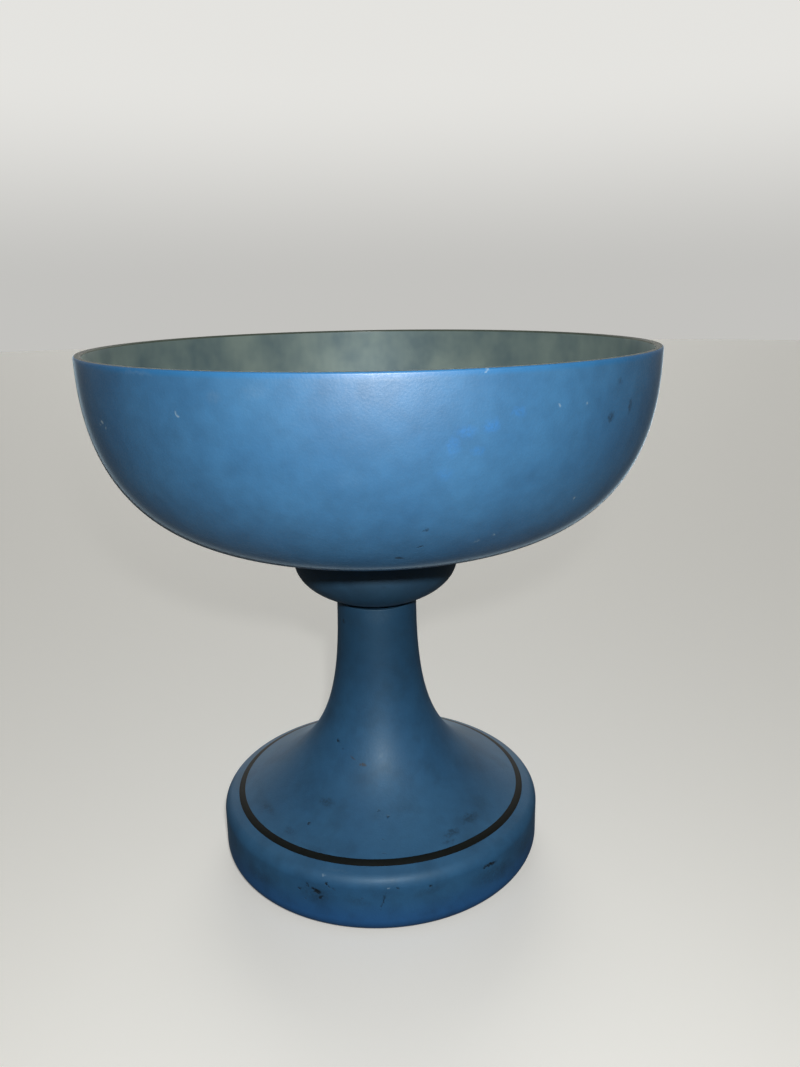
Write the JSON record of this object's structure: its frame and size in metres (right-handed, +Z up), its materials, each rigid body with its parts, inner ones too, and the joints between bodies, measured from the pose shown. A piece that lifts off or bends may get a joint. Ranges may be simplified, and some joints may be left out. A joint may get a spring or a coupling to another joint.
{
  "type": "footed glass bowl",
  "caption": "Deep round glass bowl with satin outside and glossy dark inside, on a flattened ball knop and a hollow trumpet foot with a black band.",
  "frame": {"origin": "on the upright axis, in the plane that the foot stands on", "axes": "+Z up along the axis of the bowl, stem and foot; the picture looks along +Y"},
  "size_m": [0.25, 0.25, 0.2471],
  "materials": {
    "foot_glass": "acid satin blue, opaque, with small nicks and rubbed marks",
    "band_enamel": "matt black enamel",
    "clear_joint": "clear cured adhesive film",
    "knop_glass": "acid satin blue, opaque",
    "bowl_glass": "acid satin blue outside, glossy dark grey-green inside, bare polished rim"
  },
  "bodies": {
    "root": {"stem_and_foot": "foot_glass", "black_band": "band_enamel", "stem_joint": "clear_joint", "knop": "knop_glass", "bowl_joint": "clear_joint", "bowl": "bowl_glass"}
  },
  "joints": []
}
